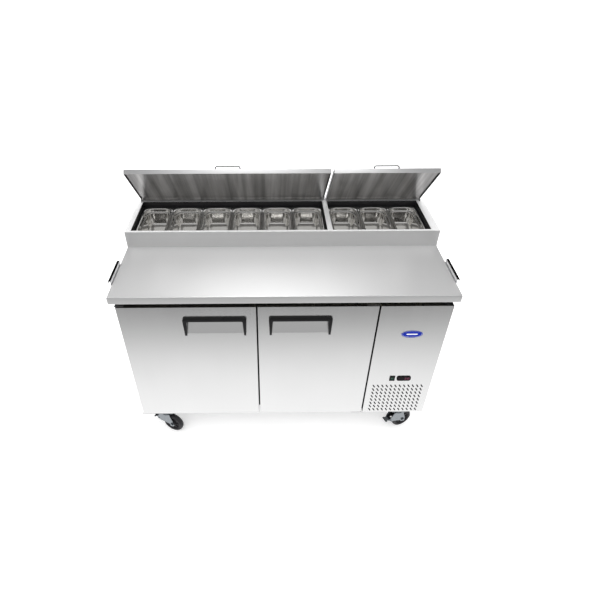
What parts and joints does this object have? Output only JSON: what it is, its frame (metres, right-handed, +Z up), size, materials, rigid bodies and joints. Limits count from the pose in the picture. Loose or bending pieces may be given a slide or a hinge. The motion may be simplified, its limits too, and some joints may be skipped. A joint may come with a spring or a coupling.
{
  "type": "refrigerated prep table",
  "caption": "Two-door refrigerated prep table on casters with a worktop, a raised rail of food pans under two hinged lids and a side machine bay.",
  "frame": {"origin": "on the floor under the middle of the table, at the centre of its outline", "axes": "+X to the right as seen from the front, +Y from the front to the back, +Z up"},
  "size_m": [1.728, 0.878, 1.3988],
  "materials": {
    "brushed_steel": "long-grain brushed stainless sheet",
    "inner_steel": "bright brushed stainless, a little darker",
    "lid_inner": "bright stainless inner pan over foam",
    "liner_aluminium": "smooth matt aluminium cabinet liner",
    "pan_steel": "drawn stainless with a satin inside and a bright rim",
    "foam": "rigid foamed insulation",
    "black_trim": "black moulded breaker strip, satin",
    "black_plastic": "black moulded plastic, semi gloss",
    "door_inner": "stucco-smooth inner door panel",
    "gasket": "soft magnetic door seal",
    "chrome": "polished bright steel",
    "bracket_steel": "black painted steel plate",
    "badge_blue": "glossy blue badge, blank",
    "rocker_green": "translucent green rocker",
    "compressor_black": "black painted steel dome",
    "coil_fins": "thin rolled fins",
    "copper": "bare copper tube",
    "fan_plastic": "black moulded fan",
    "shelf_wire": "epoxy coated wire",
    "zinc": "bright zinc plated steel",
    "wheel_rubber": "black rubber tread on a black core"
  },
  "bodies": {
    "table": {"cabinet_shell": "brushed_steel", "foam_insulation": "foam", "cabinet_liner": "liner_aluminium", "face_frame": "black_trim", "worktop": "brushed_steel", "board_brackets": "chrome", "rail_housing": "brushed_steel", "rail_liner": "inner_steel", "well_collars": "black_trim", "hinge_brackets": "bracket_steel", "front_panel": "brushed_steel", "badge": "badge_blue", "control_modules": "black_plastic", "compressor": "compressor_black", "condenser_coil": "coil_fins", "refrigerant_tubing": "copper", "evaporator_coil": "coil_fins", "evaporator_cover": "inner_steel", "shelf_pilasters": "inner_steel", "cord_inlet": "black_plastic", "caster_plates": "zinc", "fasteners": "chrome"},
    "left_lid": {"left_lid_shell": "brushed_steel", "left_lid_liner": "lid_inner", "left_lid_handle": "chrome"},
    "right_lid": {"right_lid_shell": "brushed_steel", "right_lid_liner": "lid_inner", "right_lid_handle": "chrome"},
    "left_door": {"left_door_skin": "brushed_steel", "left_door_liner": "door_inner", "left_door_gasket": "gasket", "left_door_grip": "black_plastic"},
    "right_door": {"right_door_skin": "brushed_steel", "right_door_liner": "door_inner", "right_door_gasket": "gasket", "right_door_grip": "black_plastic"},
    "pan_1": {"pan_1": "pan_steel"},
    "pan_2": {"pan_2": "pan_steel"},
    "pan_3": {"pan_3": "pan_steel"},
    "pan_4": {"pan_4": "pan_steel"},
    "pan_5": {"pan_5": "pan_steel"},
    "pan_6": {"pan_6": "pan_steel"},
    "pan_7": {"pan_7": "pan_steel"},
    "pan_8": {"pan_8": "pan_steel"},
    "pan_9": {"pan_9": "pan_steel"},
    "front_left_swivel": {"front_left_fork": "zinc"},
    "front_left_wheel": {"front_left_wheel": "wheel_rubber"},
    "front_right_swivel": {"front_right_fork": "zinc"},
    "front_right_wheel": {"front_right_wheel": "wheel_rubber"},
    "rear_left_swivel": {"rear_left_fork": "zinc"},
    "rear_left_wheel": {"rear_left_wheel": "wheel_rubber"},
    "rear_right_swivel": {"rear_right_fork": "zinc"},
    "rear_right_wheel": {"rear_right_wheel": "wheel_rubber"},
    "front_left_brake": {"front_left_brake": "zinc"},
    "front_right_brake": {"front_right_brake": "zinc"},
    "power_rocker": {"power_rocker": "rocker_green"},
    "condenser_fan": {"condenser_fan": "fan_plastic"},
    "evaporator_fan": {"evaporator_fan": "fan_plastic"},
    "left_shelf": {"left_shelf": "shelf_wire"},
    "right_shelf": {"right_shelf": "shelf_wire"}
  },
  "joints": [
    {"name": "left_lid_hinge", "type": "hinge", "parent": "table", "child": "left_lid", "pos_m": [-0.2855, 0.419, 1.122], "axis": [-1, 0, 0], "range_deg": [-45, 40]},
    {"name": "right_lid_hinge", "type": "hinge", "parent": "table", "child": "right_lid", "pos_m": [0.5415, 0.419, 1.122], "axis": [-1, 0, 0], "range_deg": [-45, 40]},
    {"name": "left_door_hinge", "type": "hinge", "parent": "table", "child": "left_door", "pos_m": [-0.821, -0.405, 0.55], "axis": [0, 0, -1], "range_deg": [0, 105]},
    {"name": "right_door_hinge", "type": "hinge", "parent": "table", "child": "right_door", "pos_m": [0.4585, -0.405, 0.55], "axis": [0, 0, 1], "range_deg": [0, 105]},
    {"name": "front_left_swivel_joint", "type": "hinge", "parent": "table", "child": "front_left_swivel", "pos_m": [-0.7, -0.384, 0.15], "axis": [0, 0, 1], "continuous": true},
    {"name": "front_right_swivel_joint", "type": "hinge", "parent": "table", "child": "front_right_swivel", "pos_m": [0.7, -0.384, 0.15], "axis": [0, 0, 1], "continuous": true},
    {"name": "rear_left_swivel_joint", "type": "hinge", "parent": "table", "child": "rear_left_swivel", "pos_m": [-0.7, 0.339, 0.15], "axis": [0, 0, 1], "continuous": true},
    {"name": "rear_right_swivel_joint", "type": "hinge", "parent": "table", "child": "rear_right_swivel", "pos_m": [0.7, 0.339, 0.15], "axis": [0, 0, 1], "continuous": true},
    {"name": "front_left_wheel_spin", "type": "hinge", "parent": "front_left_swivel", "child": "front_left_wheel", "pos_m": [-0.66662, -0.39749, 0.0635], "axis": [0.3746, 0.9272, 0], "continuous": true},
    {"name": "front_right_wheel_spin", "type": "hinge", "parent": "front_right_swivel", "child": "front_right_wheel", "pos_m": [0.73338, -0.37051, 0.0635], "axis": [-0.3746, 0.9272, 0], "continuous": true},
    {"name": "rear_left_wheel_spin", "type": "hinge", "parent": "rear_left_swivel", "child": "rear_left_wheel", "pos_m": [-0.682, 0.37018, 0.0635], "axis": [-0.866, 0.5, 0], "continuous": true},
    {"name": "rear_right_wheel_spin", "type": "hinge", "parent": "rear_right_swivel", "child": "rear_right_wheel", "pos_m": [0.682, 0.37018, 0.0635], "axis": [-0.866, -0.5, 0], "continuous": true},
    {"name": "front_left_brake_pedal", "type": "hinge", "parent": "front_left_swivel", "child": "front_left_brake", "pos_m": [-0.74821, -0.36452, 0.0895], "axis": [-0.3746, -0.9272, 0], "range_deg": [0, 22]},
    {"name": "front_right_brake_pedal", "type": "hinge", "parent": "front_right_swivel", "child": "front_right_brake", "pos_m": [0.65179, -0.40348, 0.0895], "axis": [0.3746, -0.9272, 0], "range_deg": [0, 22]},
    {"name": "pan_1_lift", "type": "slide", "parent": "table", "child": "pan_1", "axis": [0, 0, 1], "range_m": [0, 0.04]},
    {"name": "pan_2_lift", "type": "slide", "parent": "table", "child": "pan_2", "axis": [0, 0, 1], "range_m": [0, 0.04]},
    {"name": "pan_3_lift", "type": "slide", "parent": "table", "child": "pan_3", "axis": [0, 0, 1], "range_m": [0, 0.04]},
    {"name": "pan_4_lift", "type": "slide", "parent": "table", "child": "pan_4", "axis": [0, 0, 1], "range_m": [0, 0.04]},
    {"name": "pan_5_lift", "type": "slide", "parent": "table", "child": "pan_5", "axis": [0, 0, 1], "range_m": [0, 0.04]},
    {"name": "pan_6_lift", "type": "slide", "parent": "table", "child": "pan_6", "axis": [0, 0, 1], "range_m": [0, 0.04]},
    {"name": "pan_7_lift", "type": "slide", "parent": "table", "child": "pan_7", "axis": [0, 0, 1], "range_m": [0, 0.04]},
    {"name": "pan_8_lift", "type": "slide", "parent": "table", "child": "pan_8", "axis": [0, 0, 1], "range_m": [0, 0.04]},
    {"name": "pan_9_lift", "type": "slide", "parent": "table", "child": "pan_9", "axis": [0, 0, 1], "range_m": [0, 0.04]},
    {"name": "power_switch", "type": "hinge", "parent": "table", "child": "power_rocker", "pos_m": [0.61, -0.412, 0.442], "axis": [1, 0, 0], "range_deg": [-16, 0]},
    {"name": "evaporator_fan_spin", "type": "hinge", "parent": "table", "child": "evaporator_fan", "pos_m": [-0.18, 0.2715, 0.76], "axis": [0, 1, 0], "continuous": true},
    {"name": "condenser_fan_spin", "type": "hinge", "parent": "table", "child": "condenser_fan", "pos_m": [0.645, -0.241, 0.327], "axis": [0, 1, 0], "continuous": true},
    {"name": "left_shelf_lift", "type": "slide", "parent": "table", "child": "left_shelf", "axis": [0, 0, 1], "range_m": [0, 0.08]},
    {"name": "right_shelf_lift", "type": "slide", "parent": "table", "child": "right_shelf", "axis": [0, 0, 1], "range_m": [0, 0.08]}
  ]
}
